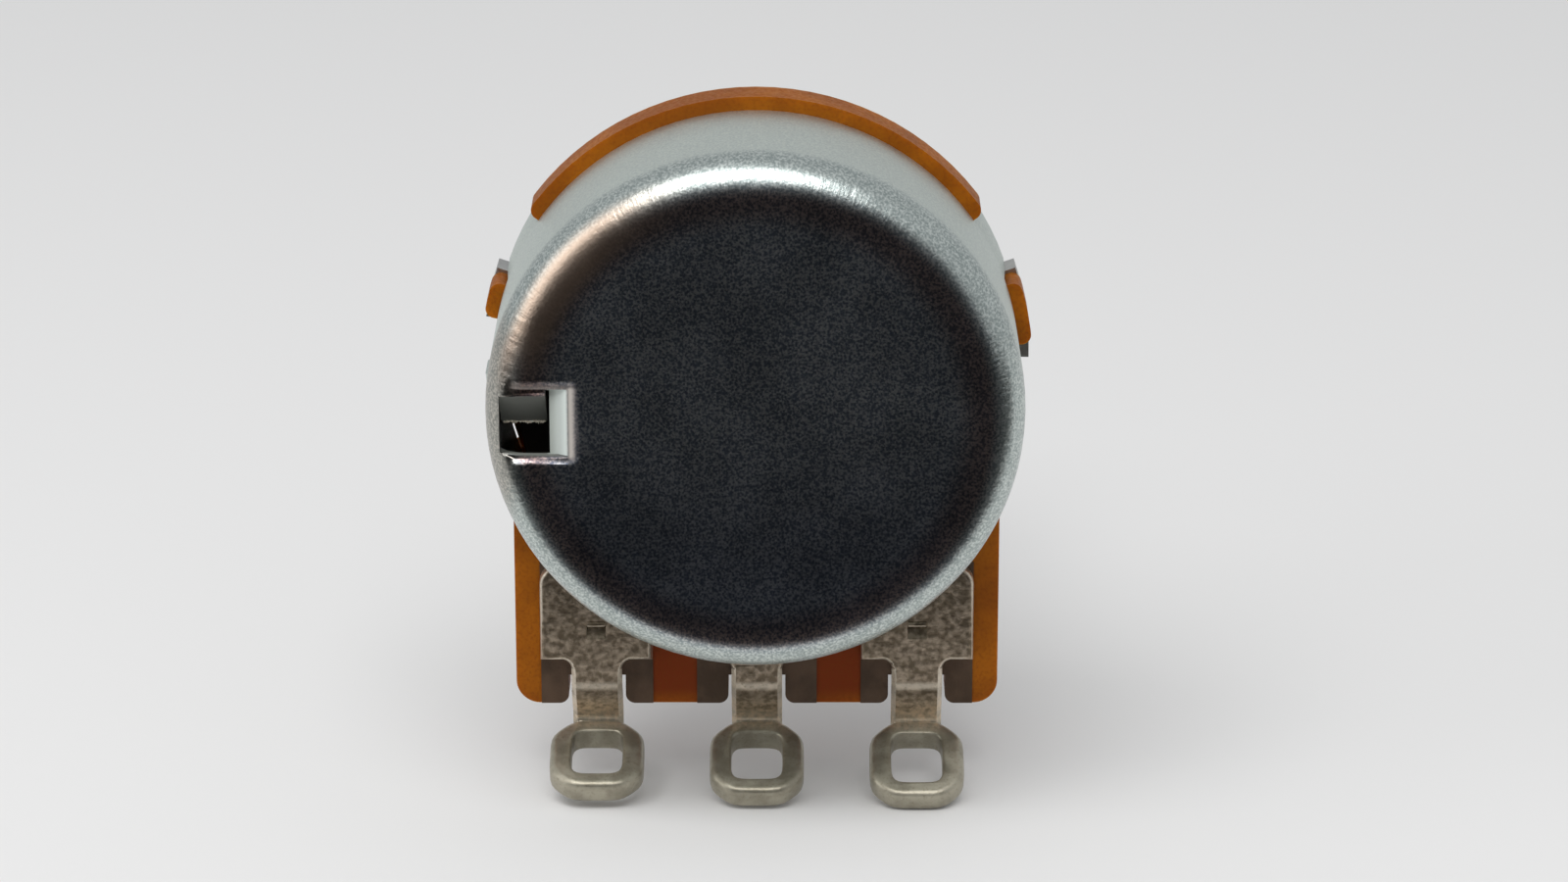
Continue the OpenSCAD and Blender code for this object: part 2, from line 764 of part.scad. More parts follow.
// One finger: a strip that curves round the axis while it drops to the print,
// with its tip turned up again behind the contact point.
module wiper_finger(r) {
  steps = 14;
  root = 2;
  tip = 6;
  fall = finger_span + root;
  half = finger_w / 2;
  corners = [[-half, 0], [half, 0], [half, spring_t], [-half, spring_t]];
  // Direction of each station, and the height of the strip's front face there.
  stations = [for (i = [0:steps])
    let (turned = (fall + tip) * i / steps,
         fallen = (1 - cos(180 * min(1, turned / fall))) / 2,
         past = max(0, turned - fall) / tip)
    [plate_dir + root - turned,
     spring_front - (spring_front - contact_z) * fallen + tip_rise * past * past]];
  points = [for (s = stations, c = corners)
    [(r + c[0]) * cos(s[0]), (r + c[0]) * sin(s[0]), s[1] + c[1]]];
  sides = [for (i = [0:steps - 1], k = [0:3])
    let (n = (k + 1) % 4)
    [4 * i + k, 4 * i + 4 + k, 4 * i + 4 + n, 4 * i + n]];
  ends = [[0, 1, 2, 3], [for (k = [3:-1:0]) 4 * steps + k]];
  polyhedron(points, concat(sides, ends), convexity = 4);
}

module wiper_spring() {
  color([0.75, 0.6, 0.38]) seen_from_rear() difference() {
    union() {
      translate([0, 0, spring_front]) linear_extrude(spring_t)
        sector(spring_in_r, spring_out_r, plate_dir, plate_dir + plate_span);
      for (i = [-1:1]) wiper_finger(track_r + i * finger_pitch);
      for (i = [-0.5, 0.5]) wiper_finger(collector_r + i * finger_pitch);
    }
    spring_posts(post_r + post_fit, spring_front - spring_t, carrier_z + spring_t);
  }
}

rear_cover();
element_board();
resistive_track();
collector_ring();
end_pad_left();
end_pad_right();
terminal_left();
terminal_centre();
terminal_right();
bushing_flange();
shaft();
retaining_clip();
rotor();
wiper_spring();
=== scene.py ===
"""Rotary potentiometer, 16 mm class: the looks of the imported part.

Everything is in metres in the part's own frame: the origin is on the panel seating
face at the shaft axis, the shaft runs along +Y and the solder lugs hang towards -Z.
Sizes written in this file are millimetres, and become metres where they meet MM.
"""
import json
import math

import bmesh
import bpy
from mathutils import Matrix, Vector


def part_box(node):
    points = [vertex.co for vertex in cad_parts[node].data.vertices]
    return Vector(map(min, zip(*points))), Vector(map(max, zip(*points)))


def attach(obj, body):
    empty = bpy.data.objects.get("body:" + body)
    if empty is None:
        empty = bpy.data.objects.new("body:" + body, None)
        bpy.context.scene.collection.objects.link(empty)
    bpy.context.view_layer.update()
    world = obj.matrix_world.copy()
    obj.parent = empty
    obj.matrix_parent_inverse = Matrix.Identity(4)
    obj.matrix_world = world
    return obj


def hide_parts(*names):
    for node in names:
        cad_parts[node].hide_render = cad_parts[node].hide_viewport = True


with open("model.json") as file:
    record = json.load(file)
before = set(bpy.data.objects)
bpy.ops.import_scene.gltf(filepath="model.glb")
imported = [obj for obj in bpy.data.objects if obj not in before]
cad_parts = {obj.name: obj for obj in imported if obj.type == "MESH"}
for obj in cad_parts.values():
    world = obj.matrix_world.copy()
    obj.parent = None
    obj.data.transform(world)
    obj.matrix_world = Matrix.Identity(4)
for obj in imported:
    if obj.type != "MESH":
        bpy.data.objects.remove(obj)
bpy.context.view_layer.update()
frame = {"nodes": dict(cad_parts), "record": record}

MM = 0.001
HOUSING, SPINDLE = "housing", "spindle"

# Sizes and places of the solids that the looks follow.
COVER_REAR = -8.65
COVER_RADIUS = 8.05
DRAWN_EDGE = 1.2
EDGE_CENTRE_R = COVER_RADIUS - DRAWN_EDGE
EDGE_CENTRE_Y = COVER_REAR + DRAWN_EDGE
WINDOW_HEIGHT = 2.06
WINDOW_HALF = 1.04      # half its height, to just outside its cut
LIP_END = -5.46         # where the face starts to bend down into the window's lip
FLAP_BEND = math.radians(45)
FLAP_SIDES = (-7.5, -6.26)
BUSHING_RADIUS = 3.5
PLATE_REAR = -3.55      # rear of the terminals' plates
NECK_BEND = -10.2       # just above the bend from plate to neck
STAKE_Z = -8.6
STAKE_CLEARANCE = 0.7


def srgb(r, g, b):
    """Linear colour of an sRGB colour given in 0..255."""
    def linear(v):
        v /= 255
        return v / 12.92 if v <= 0.04045 else ((v + 0.055) / 1.055) ** 2.4
    return (linear(r), linear(g), linear(b), 1.0)


def new_object(name, data):
    """An object in the scene, at the origin."""
    made = bpy.data.objects.new(name, data)
    bpy.context.scene.collection.objects.link(made)
    return made


def aim(thing, place, target):
    """Puts a camera or lamp at a place and points it at a target."""
    thing.location = Vector(place) * MM
    thing.rotation_mode = "QUATERNION"
    toward = Vector(target) * MM - thing.location
    thing.rotation_quaternion = toward.to_track_quat("-Z", "Y")


# ------------------------------------------------------------------ camera

def make_camera():
    """Camera behind the cover and a little above it."""
    data = bpy.data.cameras.new("camera")
    data.lens = 112.3
    data.sensor_width = 36
    data.clip_start = 5 * MM
    data.clip_end = 10
    camera = new_object("camera", data)
    aim(camera, (0.85, -145.75, 46.115), (0.85, -3.757, -2.225))
    bpy.context.scene.camera = camera


make_camera()
bpy.context.scene.view_settings.view_transform = "Standard"


# ------------------------------------------------------- node-tree helpers

class Tree:
    """Short ways to add and join nodes in one node tree."""

    def __init__(self, nodes_of):
        self.nodes = nodes_of.nodes
        self.links = nodes_of.links

    def put(self, socket, value):
        """Links an output to a socket, or sets the socket to a constant."""
        if isinstance(value, bpy.types.NodeSocket):
            self.links.new(value, socket)
        else:
            socket.default_value = value

    def fill(self, node, inputs):
        """Puts values on a node's inputs, given by name or number."""
        for key, value in inputs.items():
            self.put(node.inputs[key], value)

    def add(self, kind, inputs=None, **settings):
        """A node with its settings and its inputs."""
        node = self.nodes.new(kind)
        for key, value in settings.items():
            setattr(node, key, value)
        self.fill(node, inputs or {})
        return node

    def math(self, operation, *values, clamp=False):
        node = self.add("ShaderNodeMath", dict(enumerate(values)),
                        operation=operation, use_clamp=clamp)
        return node.outputs[0]

    def product(self, first, *others):
        """All values multiplied together."""
        for other in others:
            first = self.math("MULTIPLY", first, other)
        return first

    def hypot(self, a, b):
        """Length of a vector with two parts."""
        return self.math("SQRT", self.math(
            "ADD", self.math("POWER", a, 2.0), self.math("POWER", b, 2.0)))

    def scaled(self, vector, scale):
        node = self.add("ShaderNodeVectorMath", {0: vector, "Scale": scale}, operation="SCALE")
        return node.outputs[0]

    def split(self, vector):
        """The three parts of a vector."""
        return self.add("ShaderNodeSeparateXYZ", {0: vector}).outputs

    def joined(self, *parts):
        """A vector of up to three parts."""
        return self.add("ShaderNodeCombineXYZ", dict(enumerate(parts))).outputs[0]

    def noise(self, vector, detail=2.0):
        node = self.add("ShaderNodeTexNoise", {
            "Vector": vector, "Scale": 1.0, "Detail": detail})
        return node.outputs["Fac"]

    def remap(self, value, low, high, to_low=0.0, to_high=1.0, smooth=True):
        """A value brought from one range to another, and held within it."""
        node = self.add("ShaderNodeMapRange", {
            "Value": value, "From Min": low, "From Max": high,
            "To Min": to_low, "To Max": to_high},
            interpolation_type="SMOOTHSTEP" if smooth else "LINEAR")
        return node.outputs["Result"]

    def fade(self, value, low, high, to_low=0.0, to_high=1.0):
        """A soft step between two places in millimetres."""
        return self.remap(value, low * MM, high * MM, to_low, to_high)

    def band(self, value, low, full_from, full_to, high):
        """A soft band between two places in millimetres."""
        return self.product(self.fade(value, low, full_from), self.fade(value, high, full_to))

    def mix(self, factor, a, b, blend="MIX"):
        """Colour a with colour b over it by a factor."""
        node = self.add("ShaderNodeMix", data_type="RGBA", blend_type=blend)
        self.fill(node, {0: factor, 6: a, 7: b})
        return node.outputs[2]

    def place(self):
        """Object coordinates in metres."""
        return self.add("ShaderNodeTexCoord").outputs["Object"]

    def bump(self, height, strength, deep, normal=None):
        """Bump with its depth in millimetres, over another normal."""
        node = self.add("ShaderNodeBump", {
            "Height": height, "Strength": strength, "Distance": deep * MM})
        if normal is not None:
            self.put(node.inputs["Normal"], normal)
        return node.outputs["Normal"]

    def group(self, name, **inputs):
        """The outputs of one of the shader groups below."""
        node = self.add("ShaderNodeGroup", node_tree=GROUPS[name])
        self.fill(node, {key.replace("_", " "): value for key, value in inputs.items()})
        return node.outputs


# ----------------------------------------------------------- shader groups

FLOAT = "NodeSocketFloat"
COUNT = "NodeSocketInt"
VECTOR = "NodeSocketVector"
GEOMETRY = "NodeSocketGeometry"

GROUPS = {}


def new_sockets(tree, direction, sockets):
    """Named sockets of a node group: sockets are (name, type, default)."""
    for label, kind, value in sockets:
        socket = tree.interface.new_socket(label, in_out=direction, socket_type=kind)
        if value is not None:
            socket.default_value = value


def new_group(name, inputs, outputs):
    """An empty shader group with float outputs: (tree, its inputs, its outputs)."""
    tree = bpy.data.node_groups.new(name, "ShaderNodeTree")
    new_sockets(tree, "INPUT", inputs)
    new_sockets(tree, "OUTPUT", [(label, FLOAT, None) for label in outputs])
    GROUPS[name] = tree
    t = Tree(tree)
    return t, t.add("NodeGroupInput").outputs, t.add("NodeGroupOutput").inputs


def group_grain():
    """Noise with its grain size in millimetres, in two sizes: fine and broad."""
    t, given, out = new_group(
        "grain",
        [("Position", VECTOR, None), ("Grain mm", FLOAT, 0.1), ("Broad mm", FLOAT, 1.5)],
        ["Fine", "Broad"])
    for label, size in (("Fine", "Grain mm"), ("Broad", "Broad mm")):
        per_metre = t.math("DIVIDE", 1 / MM, given[size])
        t.put(out[label], t.noise(t.scaled(given["Position"], per_metre), detail=3.0))


def group_turned():
    """Grooves of a turning tool round the shaft axis, along the axis or on end faces."""
    t, given, out = new_group(
        "turned", [("Position", VECTOR, None), ("Feed mm", FLOAT, 0.08)], ["Height", "Wear"])
    x, y, z = t.split(given["Position"])
    along = t.math("ADD", y, t.hypot(x, z))
    per_metre = t.math("DIVIDE", 1 / MM, given["Feed mm"])
    t.put(out["Height"], t.noise(t.joined(t.math("MULTIPLY", along, per_metre))))
    t.put(out["Wear"], t.noise(t.scaled(given["Position"], 900.0), detail=4.0))


def group_round_axis():
    """Place round the shaft axis: radius and angle, in metres and radians."""
    t, given, out = new_group(
        "round_axis", [("Position", VECTOR, None)], ["Radius", "Angle", "Along"])
    x, y, z = t.split(given["Position"])
    t.put(out["Radius"], t.hypot(x, z))
    t.put(out["Angle"], t.math("ARCTAN2", z, x))
    t.put(out["Along"], y)


group_grain()
group_turned()
group_round_axis()


# --------------------------------------------------------------- materials

MATERIALS = {}


def new_material(name):
    """A material in MATERIALS: (its tree, its Principled shader)."""
    material = bpy.data.materials.new(name)
    material.use_nodes = True
    MATERIALS[name] = material
    return Tree(material.node_tree), material.node_tree.nodes["Principled BSDF"]


def grained_material(name, grain, broad):
    """A material with its place and one grain ready: (tree, shader, place, grain)."""
    t, shader = new_material(name)
    place = t.place()
    return t, shader, place, t.group("grain", Position=place, Grain_mm=grain, Broad_mm=broad)


def below_skin(t, radius, along):
    """Mask of what lies below the outer skin of the cup, behind its rim."""
    out = t.math("MAXIMUM", t.math("SUBTRACT", radius, EDGE_CENTRE_R * MM), 0.0)
    rise = t.math("SUBTRACT", (DRAWN_EDGE * MM) ** 2, t.math("MULTIPLY", out, out))
    skin = t.math("SQRT", t.math("MAXIMUM", rise, 0.0))
    depth = t.math("ADD", t.math("ADD", along, -EDGE_CENTRE_Y * MM), skin)
    return t.product(t.fade(depth, 0.05, 0.16), t.fade(radius, 7.76, 7.7),
                     t.fade(along, -2.9, -3.1))


def window_roll(t, x, z, off_middle, along):
    """Masks of the face's soft roll into the window: (all of it, the part coloured pale as a
    painted highlight).
    """
    past_lip = t.math("MAXIMUM", t.math("ADD", x, -LIP_END * MM), 0.0)
    past_cut = t.math("MAXIMUM", t.math("SUBTRACT", off_middle, WINDOW_HALF * MM), 0.0)
    rolled = t.product(t.fade(t.hypot(past_lip, past_cut), 0.32, 0.0),
                       t.fade(along, -8.45, -8.6))
    beside_lip = t.product(t.fade(x, -5.58, -5.5), t.fade(off_middle, 1.35, 1.0))
    over_flap = t.product(t.fade(z, 1.0, 1.08, 0.0, 0.6), t.fade(x, -7.6, -7.3))
    return rolled, t.product(rolled, rolled, t.math("MAXIMUM", beside_lip, over_flap))


def plated_steel():
    """Drawn steel with satin zinc plating.

    The flat face is smooth with a speckled grain; the drawn edge has short wrinkles
    that run over it, and the wall has fine lines round it.  The sheared flap of the
    stop window and the inside of the cup are duller.
    """
    t, shader, place, grain = grained_material("plated_steel", 0.075, 1.6)
    ring = t.group("round_axis", Position=place)
    radius, angle, along = ring["Radius"], ring["Angle"], ring["Along"]
    x, _, z = t.split(place)
    off_middle = t.math("ABSOLUTE", z)
    rearward = t.fade(along, -7.2, -7.7)

    on_edge = t.fade(radius, 6.8, 7.5)
    on_wall = t.product(t.fade(radius, 7.9, 8.03), t.fade(along, -7.9, -7.3))
    # The tabs' ends in front of the rim are finished like the wall.
    on_wall = t.math("MAXIMUM", on_wall, t.fade(along, -3.4, -3.1))
    lip = t.product(t.band(x, -6.2, -6.12, -5.62, LIP_END),
                    t.math("LESS_THAN", off_middle, WINDOW_HALF * MM))
    inside = t.math("MAXIMUM", below_skin(t, radius, along), lip)
    rolled, painted_highlight = window_roll(t, x, z, off_middle, along)

    # Wrinkles, long over the edge and fine round the axis, and lines of the drawing
    # die on the wall.
    wrinkles = t.product(t.noise(t.joined(
        t.math("MULTIPLY", angle, 40.0), t.math("MULTIPLY", radius, 900.0),
        t.math("MULTIPLY", along, 900.0)), detail=3.0), on_edge)
    lines = t.product(t.noise(t.joined(
        t.math("MULTIPLY", angle, 5.0), t.math("MULTIPLY", along, 5200.0)),
        detail=3.0), on_wall)

    # Speckle: strong on the flat face, softer on the edge, faint on the wall.
    speckle = t.remap(grain["Fine"], 0.36, 0.68)
    flecks = t.remap(t.noise(t.scaled(place, 9000.0), detail=1.0), 0.66, 0.74, 0.0, 0.8)
    face = t.mix(speckle, srgb(140, 150, 168), srgb(240, 243, 246))
    face = t.mix(flecks, face, srgb(255, 255, 255))
    edge = t.mix(speckle, srgb(160, 170, 168), srgb(214, 221, 217))
    wall = t.mix(speckle, srgb(198, 206, 202), srgb(216, 223, 216))
    colour = t.mix(on_wall, t.mix(on_edge, face, edge), wall)

    # Painted reflection: a faint brown tint where the face turns over stands in for warm
    # reflections there, with more of it on the upper edge towards -X and a little at the
    # window's height; the roll into the window is tinted warmer and darker. Painted shade: the
    # face is darker low down. Painted highlight: the roll beside the lip and over the flap is
    # coloured pale.
    painted_warm_reflection = t.product(t.band(radius, 5.8, 6.7, 6.9, 7.3), rearward)
    above = t.product(t.fade(x, -1.5, -5.0), t.fade(z, 0.6, 3.0),
                      t.band(radius, 6.3, 6.9, 7.5, 7.9), rearward)
    # Painted shade: the face is coloured darker and bluer low down.
    lower = t.product(t.fade(z, 0.5, -5.0), t.fade(radius, 6.9, 6.5), rearward)
    at_window = t.product(t.fade(x, -6.9, -7.5), t.fade(off_middle, 4.0, 2.0), rearward)
    for mask, tint, blend in (
            (painted_warm_reflection, (226, 204, 198), "MULTIPLY"),
            (t.math("MULTIPLY", above, 0.8), (228, 197, 172), "MIX"),
            (lower, (206, 208, 216), "MULTIPLY"),
            (at_window, (232, 220, 214), "MULTIPLY"),
            (rolled, (236, 216, 208), "MULTIPLY"),
            (painted_highlight, (214, 206, 198), "MIX")):
        colour = t.mix(mask, colour, srgb(*tint), blend)

    # Painted highlight: the lip is coloured lighter towards its bend.
    lit_lip = t.mix(t.fade(x, -6.15, -5.6), srgb(172, 178, 171), srgb(222, 230, 225))
    colour = t.mix(inside, colour, t.mix(lip, srgb(116, 118, 112), lit_lip))

    rough = t.remap(grain["Broad"], 0.3, 0.7, 0.3, 0.34)
    for duller in (on_wall, inside):
        rough = t.math("ADD", rough, t.math("MULTIPLY", duller, 0.18))
    # The inside of the cup is duller; the painted highlight is also made less metallic so that
    # its pale colour shows.
    dull_and_painted_highlight = t.math("MAXIMUM", inside, t.math("MULTIPLY", painted_highlight, 0.8))
    normal = t.bump(grain["Fine"], 0.45, 0.012)
    normal = t.bump(wrinkles, 0.5, 0.04, normal)
    normal = t.bump(lines, 0.4, 0.02, normal)
    normal = t.bump(t.math("SUBTRACT", 1.0, rolled), 1.0, 0.09, normal)
    t.fill(shader, {
        "Base Color": colour, "Roughness": rough, "Normal": normal,
        "Metallic": t.remap(dull_and_painted_highlight, 0.0, 1.0, 1.0, 0.25)})


def phenolic():
    """Orange phenolic paper laminate: cloudy resin with fine paper fibres.

    Between the printed pads the resin is coloured darker and redder as a painted shadow of the
    cover, weaker towards the board's lower edge.
    """
    t, shader, place, grain = grained_material("phenolic", 0.12, 1.8)
    x, y, z = t.split(place)
    colour = t.mix(t.remap(grain["Broad"], 0.35, 0.7), srgb(134, 72, 3), srgb(160, 91, 6))
    # Painted shadow of the cover: darker and redder between the pads, less of it towards the
    # board's lower edge.
    painted_cover_shade = t.product(t.fade(t.math("ABSOLUTE", x), 6.9, 6.1), t.fade(z, -5.5, -8.0),
                       t.fade(y, -2.4, -2.9), t.fade(z, -11.1, -10.6, 0.55, 1.0))
    colour = t.mix(painted_cover_shade, colour, srgb(116, 44, 2))
    fibres = t.remap(grain["Fine"], 0.4, 0.75, 0.0, 0.45)
    t.fill(shader, {
        "Base Color": t.mix(fibres, colour, srgb(112, 54, 6)),
        "Roughness": t.remap(grain["Fine"], 0.3, 0.7, 0.38, 0.54),
        "Specular IOR Level": 0.12,
        "Subsurface Weight": 0.25,
        "Subsurface Radius": (1.0, 0.45, 0.1),
        "Subsurface Scale": 0.8 * MM,
        "Normal": t.bump(grain["Fine"], 0.3, 0.02)})


def printed(name, dark, light):
    """Screen-printed conductor or carbon film."""
    t, shader, _, grain = grained_material(name, 0.07, 0.9)
    t.fill(shader, {
        "Base Color": t.mix(t.remap(grain["Broad"], 0.35, 0.7), dark, light),
        "Roughness": t.remap(grain["Fine"], 0.3, 0.7, 0.5, 0.65),
        "Specular IOR Level": 0.25,
        "Normal": t.bump(grain["Fine"], 0.4, 0.02)})


def tinned_brass():
    """Brass strip under dull tin: cloudy, a little brown, with soft ripples.

    The plates are coloured darker than the coined rings, a painted shade for the dark
    surroundings they mirror, and are more mottled.
    """
    t, shader, place, grain = grained_material("tinned_brass", 0.09, 0.75)
    mottle = t.group("grain", Position=place, Grain_mm=0.2, Broad_mm=0.5)
    z = t.split(place)[2]
    plate = t.fade(z, -11.7, -11.2)
    upper = t.fade(z, -10.9, NECK_BEND, 0.85, 1.0)
    ring = t.mix(t.remap(grain["Broad"], 0.35, 0.65), srgb(147, 141, 125), srgb(174, 168, 151))
    cloud = t.product(t.remap(mottle["Fine"], 0.34, 0.7), upper)
    # Painted shade: the plates' colour is darker than the rings'.
    sheet = t.mix(cloud, srgb(122, 109, 92), srgb(184, 168, 149))

    # Painted highlight: the sheared sides, the lower edges of the plates and the bend are
    # coloured brighter, standing in for light they mirror from below.
    facing_x, _, facing_z = t.split(t.add("ShaderNodeNewGeometry").outputs["Normal"])
    sides = t.remap(t.math("ABSOLUTE", facing_x), 0.3, 0.6)
    undersides = t.product(t.remap(facing_z, -0.1, -0.45), t.fade(z, -10.3, -10.1))
    bend = t.band(z, -10.62, -10.42, -10.36, NECK_BEND)
    painted_highlight = t.math("MAXIMUM", t.math("MAXIMUM", sides, undersides),
                    t.math("MULTIPLY", bend, 0.6))
    colour = t.mix(plate, ring, t.mix(painted_highlight, sheet, srgb(216, 206, 190)))

    # Painted light: the neck under the board, down to the bar of the ring, is coloured lighter
    # in patches where the board shades it.
    neck = t.band(z, -12.1, -11.8, -11.2, -10.6)
    patches = t.remap(mottle["Fine"], 0.34, 0.66, 0.25, 0.85)
    colour = t.mix(t.product(neck, patches), colour, srgb(226, 206, 180))
    specks = t.remap(grain["Fine"], 0.5, 0.8, 0.0, 0.5)

    rough = t.remap(grain["Broad"], 0.3, 0.7, 0.32, 0.42)
    normal = t.bump(grain["Broad"], 0.6, 0.05)
    normal = t.bump(t.product(mottle["Fine"], plate), 0.4, 0.05, normal)
    t.fill(shader, {
        "Base Color": t.mix(specks, colour, srgb(120, 112, 92)),
        # Oxide dulls the coined rings.
        "Metallic": t.remap(plate, 0.0, 1.0, 0.66, 1.0, smooth=False),
        "Roughness": t.math("ADD", rough, t.math("MULTIPLY", plate, 0.06)),
        "Normal": t.bump(grain["Fine"], 0.25, 0.015, normal)})


def turned_metal(name, colour, feed, roughness):
    """Turned metal with fine tool marks round the axis."""
    t, shader = new_material(name)
    turned = t.group("turned", Position=t.place(), Feed_mm=feed)
    worn = t.remap(turned["Wear"], 0.4, 0.7, 0.0, 0.08)
    t.fill(shader, {
        "Base Color": t.mix(worn, colour, srgb(150, 150, 148)),
        "Metallic": 1.0,
        "Roughness": t.remap(turned["Wear"], 0.3, 0.7, roughness, roughness + 0.04),
        "Normal": t.bump(turned["Height"], 0.6, 0.03)})


def plain_metal(name, light, dark, roughness, grain_size):
    """Cast, rolled or stamped metal with a fine even grain."""
    t, shader, _, grain = grained_material(name, grain_size, 1.2)
    t.fill(shader, {
        "Base Color": t.mix(t.remap(grain["Broad"], 0.35, 0.7), dark, light),
        "Metallic": 1.0,
        "Roughness": t.remap(grain["Fine"], 0.3, 0.7, roughness, roughness + 0.12),
        "Normal": t.bump(grain["Fine"], 0.4, 0.02)})


def black_resin():
    """Moulded black resin."""
    t, shader, _, grain = grained_material("black_resin", 0.1, 1.5)
    t.fill(shader, {
        "Base Color": t.mix(
            t.remap(grain["Broad"], 0.3, 0.7), srgb(30, 22, 18), srgb(50, 38, 31)),
        "Roughness": t.remap(grain["Fine"], 0.3, 0.7, 0.42, 0.56),
        "Normal": t.bump(grain["Fine"], 0.3, 0.02)})


def sheared_edge():
    """Torn grain where a punch broke the sheet, coloured near white and little metallic as
    painted glints.
    """
    t, shader, _, grain = grained_material("sheared_edge", 0.06, 0.3)
    t.fill(shader, {
        "Base Color": t.mix(
            t.remap(grain["Fine"], 0.3, 0.7), srgb(214, 200, 172), srgb(255, 250, 236)),
        "Metallic": 0.1,
        "Roughness": 0.35,
        "Normal": t.bump(grain["Fine"], 0.6, 0.03)})


plated_steel()
phenolic()
printed("carbon_print", srgb(34, 31, 30), srgb(52, 47, 44))
printed("conductor_print", srgb(66, 50, 36), srgb(84, 65, 50))
tinned_brass()
plain_metal("die_cast_zinc", srgb(196, 196, 192), srgb(182, 182, 180), 0.38, 0.12)
turned_metal("shaft_metal", srgb(192, 192, 190), 0.11, 0.36)
plain_metal("spring_steel", srgb(92, 92, 96), srgb(70, 70, 74), 0.34, 0.08)
black_resin()
sheared_edge()
plain_metal("bronze_spring", srgb(214, 170, 112), srgb(190, 146, 92), 0.26, 0.06)

for node_object in frame["nodes"].values():
    for material_slot in node_object.material_slots:
        material_slot.material = MATERIALS[material_slot.material.name.split(".")[0]]


# --------------------------------------------------------- finished solids

def slot_of(node):
    """The record's material slot of a node."""
    return next(row["material_slot"] for row in frame["record"]["subparts"]
                if row["node"] == node)


def merged_copy(node):
    """A bmesh of a node's own solid, with its loose triangles joined to faces."""
    shape = bmesh.new()
    shape.from_mesh(frame["nodes"][node].data)
    bmesh.ops.remove_doubles(shape, verts=shape.verts, dist=1e-7)
    bmesh.ops.dissolve_limit(
        shape, angle_limit=math.radians(0.6), verts=shape.verts, edges=shape.edges)
    return shape


def shade_smooth(mesh, sharp=None):
    """Smooth faces, but for the edges that turn by more than an angle in degrees."""
    for polygon in mesh.polygons:
        polygon.use_smooth = True
    if sharp is not None:
        mesh.set_sharp_from_angle(angle=math.radians(sharp))


def stand_for(node, body, shape, edge, sharp=38, weighed=False, flat_faced=False):
    """Puts a piece in a node's place, with its sharp edges broken by a width.

    The bevel takes its edges by angle, or by their weights if weighed.  A flat_faced
    piece is shaded so that its large faces stay flat up to the broken edges.
    """
    mesh = bpy.data.meshes.new(node + "_finished")
    shape.to_mesh(mesh)
    shape.free()
    shade_smooth(mesh, sharp)
    mesh.materials.append(MATERIALS[slot_of(node)])
    piece = new_object(node + "_finished", mesh)
    if edge:
        bevel = piece.modifiers.new("broken_edges", "BEVEL")
        bevel.width = edge * MM
        bevel.segments = 2
        bevel.limit_method = "WEIGHT" if weighed else "ANGLE"
        bevel.angle_limit = math.radians(sharp)
        bevel.harden_normals = not flat_faced
        bevel.use_clamp_overlap = not weighed
        slivers = piece.modifiers.new("closed_slivers", "WELD")
        slivers.merge_threshold = 0.0015 * MM
    if flat_faced:
        level = piece.modifiers.new("level_faces", "WEIGHTED_NORMAL")
        level.weight = 80
        level.keep_sharp = True
    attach(piece, body)
    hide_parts(node)


def sheared_terminal(node):
    """A terminal whose plate has the soft sheared edge of stamped strip on its rear."""
    shape = merged_copy(node)
    middle = sum(corner[0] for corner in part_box(node)) / 2
    weights = shape.edges.layers.float.new("bevel_weight_edge")

    def on_plate_rim(vert):
        return (abs(vert.co.y - PLATE_REAR * MM) < 0.004 * MM
                and vert.co.z > NECK_BEND * MM
                and math.hypot(vert.co.x - middle, vert.co.z - STAKE_Z * MM)
                > STAKE_CLEARANCE * MM)

    for edge in shape.edges:
        turned = edge.calc_face_angle(0.0) > math.radians(50)
        edge[weights] = 1.0 if turned and all(map(on_plate_rim, edge.verts)) else 0.0
    return shape


# ------------------------------------------------------ thread and burr

THREAD_ROOT = 3.06
THREAD_PITCH = 0.75
THREAD_FROM = 0.45
THREAD_TO = 6.99
RUN_OUT = 0.6           # turns over which the thread rises from its root
FLANK_RISE = 1.6        # steepness of the profile, which leaves flats at crest and root
ROOT_FLAT = 0.3


def slimmed_bushing():
    """The front piece with its bushing turned down to the root of the thread."""
    shape = merged_copy("bushing_flange")
    for vert in shape.verts:
        radius = math.hypot(vert.co.x, vert.co.z) / MM
        if vert.co.y > -1e-6 and THREAD_ROOT < radius < BUSHING_RADIUS + 0.05:
            vert.co.x *= THREAD_ROOT / radius
            vert.co.z *= THREAD_ROOT / radius
    return shape


def new_grower(name, sockets):
    """An empty geometry-nodes tree: (tree, its helper, its inputs)."""
    tree = bpy.data.node_groups.new(name, "GeometryNodeTree")
    new_sockets(tree, "INPUT", [("Geometry", GEOMETRY, None)] + sockets)
    new_sockets(tree, "OUTPUT", [("Geometry", GEOMETRY, None)])
    t = Tree(tree)
    return tree, t, t.add("NodeGroupInput").outputs


def end_grower(t, geometry, material):
    """Ends a geometry-nodes tree with real geometry, in one material."""
    real = t.add("GeometryNodeRealizeInstances", {"Geometry": geometry})
    coat = t.add("GeometryNodeSetMaterial", {
        "Geometry": real.outputs[0], "Material": material})
    t.add("NodeGroupOutput", {"Geometry": coat.outputs[0]})


